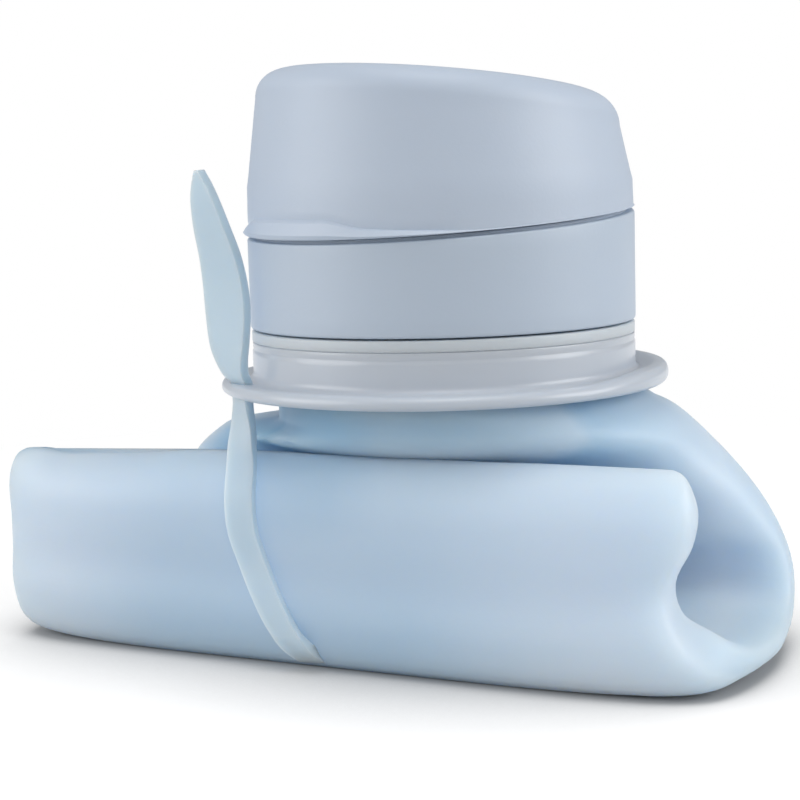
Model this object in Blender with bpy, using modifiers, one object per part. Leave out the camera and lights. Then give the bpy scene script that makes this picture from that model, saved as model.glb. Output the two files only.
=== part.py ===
"""A collapsible silicone bottle, folded up under its hinged drinking lid. Metres, +Z up.

The origin lies on the floor under the lid's axis. +X runs along the fold, +Y to the back.
"""

import math

import bmesh
import bpy
import numpy as np
from mathutils import Matrix, Vector
from mathutils.bvhtree import BVHTree

MM = 0.001

# Driving dimensions, in millimetres
LID_R = 33.0
WALL = 2.2
GAP = 0.3
FLANGE_R = 38.4
FLANGE_BOTTOM = 42.4
FLANGE_T = 2.9
COLLAR_TOP = 51.2
LIP_TOP = 52.8
BAND_BOTTOM = 53.1
SEAM_Z = 70.4
SEAM_GAP = 0.7
SEAM_SLOPE = math.tan(math.radians(4.2))
TOP_Z = 94.0
TOP_R = 30.7
TOP_ROUND = 5.0
TOP_SLOPE = -0.11
TOP_ANGLE = math.radians(42)
NECK_R = 31.2
INSERT_R = 27.9
INSERT_BORE_R = 24.5
INSERT_BOTTOM = 41.5
INSERT_TOP = 60.0
DECK_BOTTOM = 62.0
DECK_T = 2.0
SPOUT_R = 9.2
SPOUT_BORE_R = 6.5
SPOUT_TOP = 80.0
HINGE_ANGLE = math.radians(72)
HINGE_OUT = 2.2
KNUCKLE_R = 1.75
PIN_R = 0.75
SLOT_ANGLE = math.radians(221)
SLOT_R = 35.9
SLOT_TURN = math.radians(12)
ANCHOR_ANGLE = math.radians(139)
STRAP_W = 5.0
STRAP_T = 1.6
STRAP_CLEAR = 0.45
TURNS = 72

HINGE_DIR = Vector((math.cos(HINGE_ANGLE), math.sin(HINGE_ANGLE), 0))
HINGE_AXIS = Vector((-math.sin(HINGE_ANGLE), math.cos(HINGE_ANGLE), 0))
HINGE_POINT = HINGE_DIR * (LID_R + HINGE_OUT)
HINGE_POINT.z = SEAM_Z + SEAM_SLOPE * LID_R + 0.4


def clear_scene():
    for obj in list(bpy.data.objects):
        bpy.data.objects.remove(obj)


def collection(name):
    made = bpy.data.collections.new(name)
    bpy.context.scene.collection.children.link(made)
    return made


def material(name, colour, roughness, transmission=0.0, metallic=0.0):
    mat = bpy.data.materials.new(name)
    mat.use_nodes = True
    mat.diffuse_color = (*colour, 1)
    shader = mat.node_tree.nodes["Principled BSDF"]
    shader.inputs["Base Color"].default_value = (*colour, 1)
    shader.inputs["Roughness"].default_value = roughness
    shader.inputs["Transmission Weight"].default_value = transmission
    shader.inputs["Metallic"].default_value = metallic
    return mat


clear_scene()
PARTS = collection("collapsible_bottle")
CUTTERS = collection("cutters")
CAP_PLASTIC = material("cap_plastic", (0.56, 0.63, 0.74), 0.5)
COLLAR_PLASTIC = material("collar_plastic", (0.55, 0.6, 0.66), 0.2)
SPOUT_PLASTIC = material("spout_plastic", (0.62, 0.66, 0.72), 0.35)
BODY_SILICONE = material("body_silicone", (0.45, 0.62, 0.78), 0.45, 0.3)
SEAL_SILICONE = material("seal_silicone", (0.5, 0.62, 0.72), 0.5)
STRAP_SILICONE = material("strap_silicone", (0.5, 0.64, 0.74), 0.45, 0.2)
PIN_STEEL = material("pin_steel", (0.6, 0.6, 0.6), 0.3, metallic=1.0)


def link(name, mesh, mat, home=None):
    obj = bpy.data.objects.new(name, mesh)
    (home or PARTS).objects.link(obj)
    if mat:
        mesh.materials.append(mat)
    return obj


def as_cutter(obj):
    obj.hide_render = True
    obj.display_type = "WIRE"
    return obj


def applied(obj):
    """The object's evaluated mesh takes the place of its modifiers."""
    graph = bpy.context.evaluated_depsgraph_get()
    mesh = bpy.data.meshes.new_from_object(obj.evaluated_get(graph))
    obj.modifiers.clear()
    obj.data = mesh
    return obj


def turned(name, profile, mat, home=None, turns=TURNS):
    """A closed (radius, height) outline in mm, turned round the lid's axis."""
    shape = bmesh.new()
    points = [shape.verts.new((r * MM, 0, z * MM)) for r, z in profile]
    for a, b in zip(points, points[1:] + points[:1]):
        shape.edges.new((a, b))
    mesh = bpy.data.meshes.new(name)
    shape.to_mesh(mesh)
    shape.free()
    obj = link(name, mesh, mat, home)
    screw = obj.modifiers.new("turn", "SCREW")
    screw.steps = screw.render_steps = turns
    screw.use_merge_vertices = True
    screw.merge_threshold = 0.00001
    applied(obj)
    outward(obj)
    return obj


def outward(obj):
    shape = bmesh.new()
    shape.from_mesh(obj.data)
    bmesh.ops.remove_doubles(shape, verts=shape.verts, dist=0.000001)
    bmesh.ops.recalc_face_normals(shape, faces=shape.faces)
    if shape.calc_volume(signed=True) < 0:
        bmesh.ops.reverse_faces(shape, faces=shape.faces)
    shape.to_mesh(obj.data)
    shape.free()
    smooth(obj)


def smooth(obj):
    obj.data.shade_smooth()
    obj.data.set_sharp_from_angle(angle=math.radians(35))


def cut(obj, cutter, operation="DIFFERENCE"):
    change = obj.modifiers.new(operation.lower(), "BOOLEAN")
    change.operation = operation
    change.object = cutter
    change.solver = "EXACT"


def arc(centre, radius, start, end, count):
    """Points of a round corner, in degrees."""
    angles = [math.radians(start + (end - start) * i / count) for i in range(count + 1)]
    return [(centre[0] + radius * math.cos(a), centre[1] + radius * math.sin(a)) for a in angles]


def cylinder(name, radius, length, centre, axis, mat=None, home=None, sides=24):
    """A round bar centred on a point in mm, along an axis."""
    shape = bmesh.new()
    bmesh.ops.create_cone(shape, cap_ends=True, segments=sides, radius1=radius * MM,
                          radius2=radius * MM, depth=length * MM)
    turn = Vector((0, 0, 1)).rotation_difference(axis).to_matrix().to_4x4()
    bmesh.ops.transform(shape, matrix=Matrix.Translation(centre * MM) @ turn, verts=shape.verts)
    mesh = bpy.data.meshes.new(name)
    shape.to_mesh(mesh)
    shape.free()
    return link(name, mesh, mat, home)


def block(name, size, centre, turn=0.0, mat=None, home=None):
    """A box in mm, turned about Z."""
    shape = bmesh.new()
    bmesh.ops.create_cube(shape, size=1)
    scale = Matrix.Diagonal((*[s * MM for s in size], 1))
    place = Matrix.Translation(Vector(centre) * MM) @ Matrix.Rotation(turn, 4, "Z")
    bmesh.ops.transform(shape, matrix=place @ scale, verts=shape.verts)
    mesh = bpy.data.meshes.new(name)
    shape.to_mesh(mesh)
    shape.free()
    return link(name, mesh, mat, home)


def towards(point, angle):
    """How far a point lies from the lid's axis in the direction of an angle."""
    return point.x * math.cos(angle) + point.y * math.sin(angle)


def slant(obj, low, high, low_slope, high_slope, high_angle=HINGE_ANGLE):
    """Leans the level ends at heights low and high, and shears what lies between."""
    for vert in obj.data.vertices:
        share = min(1, max(0, (vert.co.z / MM - low) / (high - low)))
        lean_low = low_slope * towards(vert.co, HINGE_ANGLE)
        lean_high = high_slope * towards(vert.co, high_angle)
        vert.co.z += lean_low * (1 - share) + lean_high * share


# Collar: the glossy ring that clamps the silicone neck, with its wide flange
def build_collar():
    inner = INSERT_R + GAP
    top = FLANGE_BOTTOM + FLANGE_T
    round_r = 1.2
    profile = [(inner, COLLAR_TOP), (LID_R - 0.7, COLLAR_TOP), (LID_R - 0.1, COLLAR_TOP - 0.6)]
    profile += [(LID_R - 0.1, top + 0.8), (LID_R + 0.7, top)]
    profile += arc((FLANGE_R - round_r, top - round_r), round_r, 90, 0, 4)
    profile += arc((FLANGE_R - round_r, FLANGE_BOTTOM + round_r), round_r, 0, -90, 4)
    profile += [(inner, FLANGE_BOTTOM)]
    collar = turned("collar", profile, COLLAR_PLASTIC)
    for name, angle, turn in (("slot_cutter", SLOT_ANGLE, SLOT_TURN), ("anchor_cutter", ANCHOR_ANGLE, 0)):
        centre = on_flange(angle, FLANGE_BOTTOM + FLANGE_T / 2)
        slot = block(name, (STRAP_T + 0.8, STRAP_W + 0.8, 9), centre, angle + turn, None, CUTTERS)
        cut(collar, as_cutter(slot))


def on_flange(angle, height, radius=SLOT_R):
    return Vector((radius * math.cos(angle), radius * math.sin(angle), height))


# Neck: a stiff threaded insert inside the silicone, and the silicone's lip above the collar
def build_neck():
    bore = INSERT_BORE_R
    turned("neck_insert", [(bore, INSERT_TOP), (INSERT_R, INSERT_TOP), (INSERT_R, INSERT_BOTTOM),
                           (bore, INSERT_BOTTOM)], SPOUT_PLASTIC)
    low = COLLAR_TOP + GAP
    lip = LID_R - 0.7
    turned("neck_lip_seal", [(INSERT_R + GAP, LIP_TOP), (lip - 0.5, LIP_TOP), (lip, LIP_TOP - 0.5),
                             (lip, low + 0.3), (lip - 0.3, low), (INSERT_R + GAP, low)], SEAL_SILICONE)


# Screw cap: the plain band, its deck and the skirt that carries the thread
def build_screw_cap():
    inner = LID_R - WALL
    skirt_in = INSERT_R + GAP + 0.1
    deck_top = DECK_BOTTOM + DECK_T
    rim = SEAM_Z - SEAM_GAP / 2
    profile = [(SPOUT_R + GAP, deck_top), (inner, deck_top), (inner, rim), (LID_R - 0.4, rim),
               (LID_R, rim - 0.4), (LID_R, BAND_BOTTOM + 0.4), (LID_R - 0.4, BAND_BOTTOM),
               (skirt_in, BAND_BOTTOM), (skirt_in, DECK_BOTTOM), (SPOUT_R + GAP, DECK_BOTTOM)]
    cap = turned("screw_cap", profile, CAP_PLASTIC)
    slant(cap, deck_top + 0.1, rim, 0, SEAM_SLOPE)
    for side in (-1, 1):
        knuckle(cap, "band_knuckle", side * 7.6, 5.0, -1)
    pin_hole(cap)


# Hinge knuckle: a barrel on the hinge's axis, with a web to the wall below (-1) or above (1)
def knuckle(obj, name, shift, length, up):
    centre = HINGE_POINT + HINGE_AXIS * shift
    barrel = cylinder(name, KNUCKLE_R, length, centre, HINGE_AXIS, None, CUTTERS)
    reach = HINGE_OUT + WALL / 2
    tall = 3.6
    middle = centre - HINGE_DIR * (reach / 2) + Vector((0, 0, up * (tall / 2 + 0.8)))
    web = block(name + "_web", (reach, length - 0.7, tall), middle, HINGE_ANGLE, None, CUTTERS)
    for tool in (barrel, web):
        outward(tool)
        cut(obj, as_cutter(tool), "UNION")


def pin_hole(obj):
    """The hole for the pin, right through an object's knuckles."""
    hole = cylinder(obj.name + "_pin_hole", PIN_R + 0.1, 30, HINGE_POINT, HINGE_AXIS, None, CUTTERS)
    outward(hole)
    cut(obj, as_cutter(hole))


# Flip cap: the tall hood, sheared between the leaning seam and the leaning crown
def build_flip_cap():
    low = SEAM_Z + SEAM_GAP / 2
    crown = TOP_Z
    top_r = TOP_R
    edge = TOP_ROUND
    outer = arc((top_r - edge, crown - edge), edge, 90, 0, 7)
    outer = [(13.0, crown + 0.5)] + outer + [(LID_R - 0.5, low + 9), (LID_R - 0.05, low + 4.2)]
    outer += [(LID_R - 0.05, low + 3.4), (LID_R, low + 2.6), (LID_R, low + 1), (LID_R - 0.3, low)]
    inner = [(LID_R - WALL, low), (LID_R - WALL, low + 4)]
    inner += [(top_r - WALL, crown - edge)] + arc((top_r - edge, crown - edge), edge - WALL, 30, 90, 3)
    profile = [(0.0, crown + 0.6)] + outer + inner + [(0.0, crown - WALL)]
    cap = turned("flip_cap", profile, CAP_PLASTIC)
    lip_from_hinge(cap, low)
    slant(cap, low, crown - edge, SEAM_SLOPE, TOP_SLOPE, TOP_ANGLE)
    outward(cap)
    knuckle(cap, "cap_knuckle", 0, 9.4, 1)
    pin_hole(cap)


# Thumb lip: the hood's lower edge swells opposite the hinge
def lip_from_hinge(cap, low):
    reach = math.radians(48)
    for vert in cap.data.vertices:
        flat = Vector((vert.co.x, vert.co.y, 0))
        if flat.length < (LID_R - 0.6) * MM or vert.co.z > (low + 3.5) * MM:
            continue
        away = flat.angle(-HINGE_DIR)
        if away < reach:
            swell = 1.2 * MM * math.cos(away / reach * math.pi / 2) ** 0.7
            vert.co += flat.normalized() * swell


# Inside the lid: the spout, the stopper that closes it, its holder and the gasket under the deck
def build_lid_insides():
    deck_under = DECK_BOTTOM - GAP
    turned("spout", [(SPOUT_BORE_R, SPOUT_TOP), (SPOUT_R - 1.2, SPOUT_TOP), (SPOUT_R - 0.6, SPOUT_TOP - 0.6),
                     (SPOUT_R, SPOUT_TOP - 3), (SPOUT_R, deck_under), (13.0, deck_under),
                     (13.0, deck_under - 1.4), (SPOUT_BORE_R, deck_under - 1.4)], SPOUT_PLASTIC, turns=48)
    base = SPOUT_TOP + GAP
    turned("spout_stopper", [(0, base + 2.4), (8.4, base + 2.4), (8.4, base), (SPOUT_BORE_R - 0.9, base),
                             (SPOUT_BORE_R - 1.4, base - 2.4), (0, base - 2.4)], SEAL_SILICONE, turns=40)
    plate = base + 2.4 + GAP
    turned("stopper_holder", [(0, plate + 1.6), (24.0, plate + 1.6), (24.0, plate), (10.2, plate),
                              (10.2, plate - 2.2), (8.7, plate - 2.2), (8.7, plate), (0, plate)],
           SPOUT_PLASTIC, turns=48)
    turned("cap_gasket", [(INSERT_BORE_R + 0.2, INSERT_TOP + 1.6), (INSERT_R - 0.1, INSERT_TOP + 1.6),
                          (INSERT_R - 0.1, INSERT_TOP + GAP), (INSERT_BORE_R + 0.2, INSERT_TOP + GAP)],
           SEAL_SILICONE)
    length = 2 * (7.6 + 2.5) + 0.6
    outward(cylinder("hinge_pin", PIN_R, length, HINGE_POINT, HINGE_AXIS, PIN_STEEL))


# Body: the flattened silicone, down from the neck, forward along the floor and up in front.
# Each station: middle (y, z), lean of the section in degrees, thickness, left and right reach,
# squareness, how much its left end is raised, and how far it is turned about the vertical
STATIONS = [
    (0.0, 42.1, 0, 62.4, -31.2, 33.0, 2.0, 0.0, 0.0),
    (0.2, 40.2, 0, 61.4, -31.8, 36.5, 2.1, 0.0, 0.0),
    (0.8, 37.4, 2, 57.5, -36.3, 40.6, 2.2, 0.4, 0.0),
    (5.0, 32.6, 5, 36.0, -42.6, 45.5, 2.3, 3.4, 0.0),
    (7.0, 26.4, 8, 28.5, -51.6, 50.9, 2.6, 3.6, 0.0),
    (8.4, 19.4, 5, 23.0, -58.2, 55.4, 2.8, 1.6, 0.0),
    (8.6, 12.6, -16, 17.0, -63.0, 58.1, 2.9, 0.0, 0.0),
    (5.0, 6.2, -50, 12.0, -66.6, 58.9, 3.0, 0.0, 0.0),
    (-2.6, 4.0, -78, 8.8, -69.3, 59.0, 3.2, 0.0, -0.01),
    (-10.5, 3.7, -90, 8.0, -71.1, 58.8, 3.4, 0.0, -0.02),
    (-19.6, 4.0, -104, 9.2, -72.3, 56.7, 3.6, 0.0, -0.035),
    (-25.3, 5.6, -132, 15.2, -73.0, 53.0, 4.4, 0.0, -0.05),
    (-26.6, 10.4, -160, 15.8, -73.8, 47.6, 4.4, 0.0, -0.055),
    (-25.3, 16.2, -174, 15.8, -74.3, 45.8, 4.4, -0.3, -0.055),
    (-24.7, 22.0, -180, 16.0, -74.7, 48.3, 4.2, -0.6, -0.055),
    (-24.3, 27.0, -183, 15.0, -75.4, 49.2, 4.0, -0.9, -0.055),
    (-23.9, 30.8, -186, 11.6, -75.6, 48.6, 3.6, -1.2, -0.055),
    (-23.5, 33.0, -187, 7.0, -75.1, 48.2, 3.2, -1.4, -0.055),
    (-23.4, 33.8, -187, 3.0, -73.4, 48.2, 3.0, -1.5, -0.055),
]
RING = 44


def oval(half_width, half_thick, square, count):
    """Points round a squared oval, spaced half by angle and half by length."""
    angles = np.linspace(0, 2 * math.pi, 721)
    c, s = np.cos(angles), np.sin(angles)
    across = np.sign(c) * np.abs(c) ** (2 / square) * half_width
    along = np.sign(s) * np.abs(s) ** (2 / square) * half_thick
    run = np.concatenate([[0], np.cumsum(np.hypot(np.diff(across), np.diff(along)))])
    share = run / run[-1] / 2 + angles / (4 * math.pi)
    at = np.arange(count) / count
    return np.interp(at, share, across), np.interp(at, share, along)


def section(station):
    """The points of one cross-section, in mm."""
    y, z, lean, thick, left, right, square, lift, skew = station
    up = Vector((0, math.cos(math.radians(lean)), math.sin(math.radians(lean))))
    half = (right - left) / 2
    points = []
    for x, t in zip(*oval(half, thick / 2, square, RING)):
        point = Vector(((left + right) / 2 + x, y, z)) + up * float(t)
        point.z += lift * max(0, -x / half) ** 2
        point.y += skew * point.x
        points.append(point)
    return points


def between(a, b, c, d, t):
    """A smooth value between b and c, with a and d as neighbours."""
    return 0.5 * (2 * b + (c - a) * t + (2 * a - 5 * b + 4 * c - d) * t * t
                  + (3 * b - a - 3 * c + d) * t * t * t)


def refined(stations, steps):
    """The stations with smooth ones between them."""
    made = []
    ends = [stations[0]] + stations + [stations[-1]]
    for i in range(len(stations) - 1):
        for step in range(steps):
            made.append([between(*values, step / steps) for values in zip(*ends[i:i + 4])])
    return made + [list(stations[-1])]


def build_body():
    shape = bmesh.new()
    rings = [[shape.verts.new(p * MM) for p in section(s)] for s in refined(STATIONS, 2)]
    for low, high in zip(rings, rings[1:]):
        for i in range(RING):
            j = (i + 1) % RING
            shape.faces.new((low[i], low[j], high[j], high[i]))
    shape.faces.new(rings[0])
    shape.faces.new(rings[-1])
    mesh = bpy.data.meshes.new("bottle_body")
    shape.to_mesh(mesh)
    shape.free()
    body = link("bottle_body", mesh, BODY_SILICONE)
    outward(body)
    floor = as_cutter(block("floor_cutter", (200, 200, 20), (0, 0, -10), 0, None, CUTTERS))
    cut(body, floor)
    bore = turned("neck_bore", [(0, 50), (INSERT_R + GAP, 50), (INSERT_R + GAP, INSERT_BOTTOM - GAP),
                                (22.0, INSERT_BOTTOM - 4.5), (0, INSERT_BOTTOM - 4.5)], None, CUTTERS)
    cut(body, as_cutter(bore))
    return body


# Strap: one silicone band, up through the flange to a leaf-shaped pull, and down round the folded
# body to a button-headed end in the flange's second slot
LEAF = [
    (43.9, 0.0, 2.5), (45.6, 0.1, 2.5), (47.2, 1.1, 3.2), (49.6, 1.7, 3.9), (52.3, 1.9, 4.4),
    (57.0, 1.9, 5.0), (61.5, 2.1, 5.0), (66.5, 2.8, 4.6), (71.4, 4.0, 3.9), (75.7, 4.9, 2.9),
    (78.2, 5.3, 1.9), (79.6, 5.5, 1.1), (80.6, 5.6, 0.5),
]
LEAF_TWIST = math.radians(26)
FREE_RUN = [(-26.3, -25.3, 38.2), (-25.7, -27.3, 34.9)]
FRONT_RUN = [(-24.7, 31.0), (-24.1, 27.2), (-23.3, 22.2), (-21.4, 17.3), (-19.1, 12.4), (-16.4, 7.9),
             (-14.0, 4.7)]
UNDER_RUN = [(-12.5, -29.3), (-11.6, -25.0), (-10.8, -17.0), (-10.6, -9.0), (-10.8, -2.0), (-11.8, 4.0)]
BACK_RUN = [(-13.6, 6.0), (-15.8, 11.0), (-18.4, 17.0), (-21.2, 24.0), (-23.8, 31.0)]


def leaf_rows():
    """Middle, width direction and half width of each row, from the tip down to the slot."""
    out = on_flange(SLOT_ANGLE, 0, 1)
    rows = []
    for height, lean, half in reversed(LEAF):
        share = min(1, max(0, (height - 44.5) / 8))
        along = slot_side(SLOT_TURN + (LEAF_TWIST - SLOT_TURN) * share)
        rows.append((out * (SLOT_R + lean) + Vector((0, 0, height)), along, half))
    return rows


def wrap_rows(skin):
    """The rows that lie on the body, each a little clear of its skin."""
    clear = STRAP_T / 2 + STRAP_CLEAR
    half = STRAP_W / 2
    side = Vector((1, 0, 0))
    rows = []
    for x, z in FRONT_RUN:
        rows.append((laid(skin, Vector((x, -70, z)), Vector((0, 1, 0)), clear), side, half))
    for x, y in UNDER_RUN:
        rows.append((Vector((x, y, STRAP_T / 2 + 0.15)), side, half))
    for x, z in BACK_RUN:
        rows.append((laid(skin, Vector((x, 70, z)), Vector((0, -1, 0)), clear), side, half))
    return rows


def laid(skin, start, way, clear):
    """Where a line from outside meets the body, moved out by a clearance along its skin's normal."""
    spot, normal, _, _ = skin.ray_cast(start * MM, way)
    return spot / MM + normal * clear


def tangent(angle):
    return Vector((-math.sin(angle), math.cos(angle), 0))


def slot_side(turn):
    """The strap's width direction at the slot, turned out of the flange's tangent."""
    return Matrix.Rotation(turn, 3, "Z") @ tangent(SLOT_ANGLE)


def strap_rows(skin):
    half = STRAP_W / 2
    rows = leaf_rows()
    rows.append((on_flange(SLOT_ANGLE, FLANGE_BOTTOM - 1.0), slot_side(SLOT_TURN), half))
    for place, turn in zip(FREE_RUN, (26, 40)):
        rows.append((Vector(place), slot_side(math.radians(turn)), half))
    rows += wrap_rows(skin)
    top = FLANGE_BOTTOM + FLANGE_T
    back = tangent(ANCHOR_ANGLE) * -1
    rows.append((on_flange(ANCHOR_ANGLE, FLANGE_BOTTOM - 2), back, half))
    rows.append((on_flange(ANCHOR_ANGLE, top + 0.6), back, half))
    rows.append((on_flange(ANCHOR_ANGLE, top + 2.0), back, 3.4))
    return rows


def strip(rows, steps=2):
    """An open band through the rows, smoothed between them."""
    flat = [[*middle, *along.normalized(), half] for middle, along, half in rows]
    shape = bmesh.new()
    edges = []
    for values in refined(flat, steps):
        middle, along, half = Vector(values[:3]), Vector(values[3:6]).normalized(), values[6]
        edges.append([shape.verts.new((middle + along * half * k) * MM) for k in (-1, 0, 1)])
    for a, b in zip(edges, edges[1:]):
        for k in range(2):
            shape.faces.new((a[k], a[k + 1], b[k + 1], b[k]))
    return shape


def band(name, rows, extra, mat, home=None):
    """The strap's band as a solid, or with extra mm all round as the cutter of its bed."""
    shape = strip([(middle, along, half + extra) for middle, along, half in rows])
    mesh = bpy.data.meshes.new(name)
    shape.to_mesh(mesh)
    shape.free()
    made = link(name, mesh, mat, home)
    thick = made.modifiers.new("thickness", "SOLIDIFY")
    thick.thickness = (STRAP_T + 2 * extra) * MM
    thick.offset = 0
    applied(made)
    outward(made)
    return made


def build_strap(body):
    skin = BVHTree.FromObject(body, bpy.context.evaluated_depsgraph_get())
    rows = strap_rows(skin)
    band("strap", rows, 0, STRAP_SILICONE)
    cut(body, as_cutter(band("strap_bed", rows[len(LEAF):-2], STRAP_CLEAR, None, CUTTERS)))


build_collar()
build_neck()
build_screw_cap()
build_flip_cap()
build_lid_insides()
build_strap(build_body())
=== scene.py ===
import math

import bmesh
import bpy
from mathutils import Matrix, Vector
from mathutils.bvhtree import BVHTree


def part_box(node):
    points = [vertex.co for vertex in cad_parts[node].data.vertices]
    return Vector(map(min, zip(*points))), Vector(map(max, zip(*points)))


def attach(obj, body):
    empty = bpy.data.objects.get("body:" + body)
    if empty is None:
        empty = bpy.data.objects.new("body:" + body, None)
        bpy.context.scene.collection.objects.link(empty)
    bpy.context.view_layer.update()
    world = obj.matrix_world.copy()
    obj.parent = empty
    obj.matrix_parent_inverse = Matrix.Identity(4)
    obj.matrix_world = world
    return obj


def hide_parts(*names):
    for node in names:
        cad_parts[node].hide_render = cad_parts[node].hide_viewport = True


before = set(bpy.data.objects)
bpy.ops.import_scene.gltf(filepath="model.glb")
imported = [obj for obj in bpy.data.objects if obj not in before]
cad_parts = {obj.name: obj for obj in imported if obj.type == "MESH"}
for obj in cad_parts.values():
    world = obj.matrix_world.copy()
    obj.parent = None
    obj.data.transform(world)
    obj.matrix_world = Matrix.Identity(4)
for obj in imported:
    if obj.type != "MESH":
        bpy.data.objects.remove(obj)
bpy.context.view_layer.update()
mm = 0.001
mergeReach = 0.002 * mm


# heights and radii that the frame gives, in mm
def nodeBox(node):
    low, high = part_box(node)
    return [v / mm for v in low], [v / mm for v in high]


def flatDirection(angle):
    return Vector((math.cos(angle), math.sin(angle), 0))


collarLow, collarHigh = nodeBox("collar")
collarBottom, collarTop, flangeRadius = collarLow[2], collarHigh[2], collarHigh[0]
bandBottom = nodeBox("screw_cap")[0][2]
sealTop = nodeBox("neck_lip_seal")[1][2]
insertRadius = nodeBox("neck_insert")[1][0]

# sizes that the hood, the band and the collar share, in mm; slopes are rise over run
lid = {
    "radius": 33.0,
    "wall": 2.2,
    "seamHeight": 70.4,
    "seamGap": 0.7,
    "seamRaise": 0.7,
    "seamSlope": math.tan(math.radians(4.2)),
    "crownHeight": 94.0,
    "crownSlope": -0.11,
    "crownAngle": math.radians(42),
    "hingeAngle": math.radians(72),
    "hingeOut": 2.2,
    "hingeUp": 0.4,
    "turns": 160,
}
towardsHinge = flatDirection(lid["hingeAngle"])
hingeAxis = Vector((-towardsHinge.y, towardsHinge.x, 0))
hingeCentre = towardsHinge * (lid["radius"] + lid["hingeOut"])
hingeCentre.z = lid["seamHeight"] + lid["seamSlope"] * lid["radius"] + lid["hingeUp"]


# camera, placed from the photograph's own perspective
view = {
    "place": (0.0961, -0.2587, 0.0764),
    "look": (-0.3714, 0.9193, -0.1301),
    "roll": math.radians(1.75),
    "focalPixels": 1600,
    "photoPixels": 800,
    "filmWidth": 36,
    "clipStart": 0.01,
}


def addCamera():
    data = bpy.data.cameras.new("studioCamera")
    data.sensor_width = view["filmWidth"]
    data.lens = view["filmWidth"] * view["focalPixels"] / view["photoPixels"]
    data.clip_start = view["clipStart"]
    camera = bpy.data.objects.new("studioCamera", data)
    bpy.context.scene.collection.objects.link(camera)
    turn = Vector(view["look"]).to_track_quat("-Z", "Y").to_matrix().to_4x4()
    roll = Matrix.Rotation(-view["roll"], 4, "Z")
    camera.matrix_world = Matrix.Translation(view["place"]) @ turn @ roll
    bpy.context.scene.camera = camera
    print("camera placed")


# materials
def srgb(red, green, blue):
    out = []
    for value in (red, green, blue):
        level = value / 255
        out.append(level / 12.92 if level <= 0.04045 else ((level + 0.055) / 1.055) ** 2.4)
    return (*out, 1)


def newGroup(name, inputs, outputs):
    group = bpy.data.node_groups.new(name, "ShaderNodeTree")
    for label, kind, value in inputs:
        socket = group.interface.new_socket(label, in_out="INPUT", socket_type=kind)
        socket.default_value = value
    for label, kind in outputs:
        group.interface.new_socket(label, in_out="OUTPUT", socket_type=kind)
    return group, group.nodes.new("NodeGroupInput"), group.nodes.new("NodeGroupOutput")


# fine skin of moulded plastic or silicone: a bump height and a slightly uneven roughness
def makeSkinGroup():
    group, source, result = newGroup(
        "mouldedSkin",
        [("Scale", "NodeSocketFloat", 900.0), ("Rough Low", "NodeSocketFloat", 0.4),
         ("Rough High", "NodeSocketFloat", 0.5)],
        [("Height", "NodeSocketFloat"), ("Roughness", "NodeSocketFloat")])
    nodes, links = group.nodes, group.links
    coords = nodes.new("ShaderNodeTexCoord")
    grain = nodes.new("ShaderNodeTexNoise")
    grain.inputs["Detail"].default_value = 3
    links.new(coords.outputs["Object"], grain.inputs["Vector"])
    links.new(source.outputs["Scale"], grain.inputs["Scale"])
    links.new(grain.outputs["Fac"], result.inputs["Height"])
    patches = nodes.new("ShaderNodeTexNoise")
    patches.inputs["Scale"].default_value = 45
    patches.inputs["Detail"].default_value = 4
    links.new(coords.outputs["Object"], patches.inputs["Vector"])
    spread = nodes.new("ShaderNodeMapRange")
    links.new(patches.outputs["Fac"], spread.inputs["Value"])
    links.new(source.outputs["Rough Low"], spread.inputs["To Min"])
    links.new(source.outputs["Rough High"], spread.inputs["To Max"])
    links.new(spread.outputs["Result"], result.inputs["Roughness"])
    return group


# slow change of tint at random, and towards the deep colour by an input that, for the body, carries its
# tone and its painted shade
def makeTintGroup():
    group, source, result = newGroup(
        "slowTint",
        [("Base", "NodeSocketColor", (1, 1, 1, 1)), ("Deep", "NodeSocketColor", (0, 0, 0, 1)),
         ("Scale", "NodeSocketFloat", 20.0), ("Amount", "NodeSocketFloat", 0.5),
         ("Depth", "NodeSocketFloat", 0.0)],
        [("Color", "NodeSocketColor")])
    nodes, links = group.nodes, group.links
    coords = nodes.new("ShaderNodeTexCoord")
    cloud = nodes.new("ShaderNodeTexNoise")
    cloud.inputs["Detail"].default_value = 2
    links.new(coords.outputs["Object"], cloud.inputs["Vector"])
    links.new(source.outputs["Scale"], cloud.inputs["Scale"])
    strength = nodes.new("ShaderNodeMath")
    strength.operation = "MULTIPLY"
    links.new(cloud.outputs["Fac"], strength.inputs[0])
    links.new(source.outputs["Amount"], strength.inputs[1])
    deeper = nodes.new("ShaderNodeMath")
    deeper.use_clamp = True
    links.new(strength.outputs["Value"], deeper.inputs[0])
    links.new(source.outputs["Depth"], deeper.inputs[1])
    mix = nodes.new("ShaderNodeMix")
    mix.data_type = "RGBA"
    colourA, colourB, mixed = mix.inputs[6], mix.inputs[7], mix.outputs[2]
    links.new(deeper.outputs["Value"], mix.inputs["Factor"])
    links.new(source.outputs["Base"], colourA)
    links.new(source.outputs["Deep"], colourB)
    links.new(mixed, result.inputs["Color"])
    return group


skinGroup = makeSkinGroup()
tintGroup = makeTintGroup()

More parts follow.
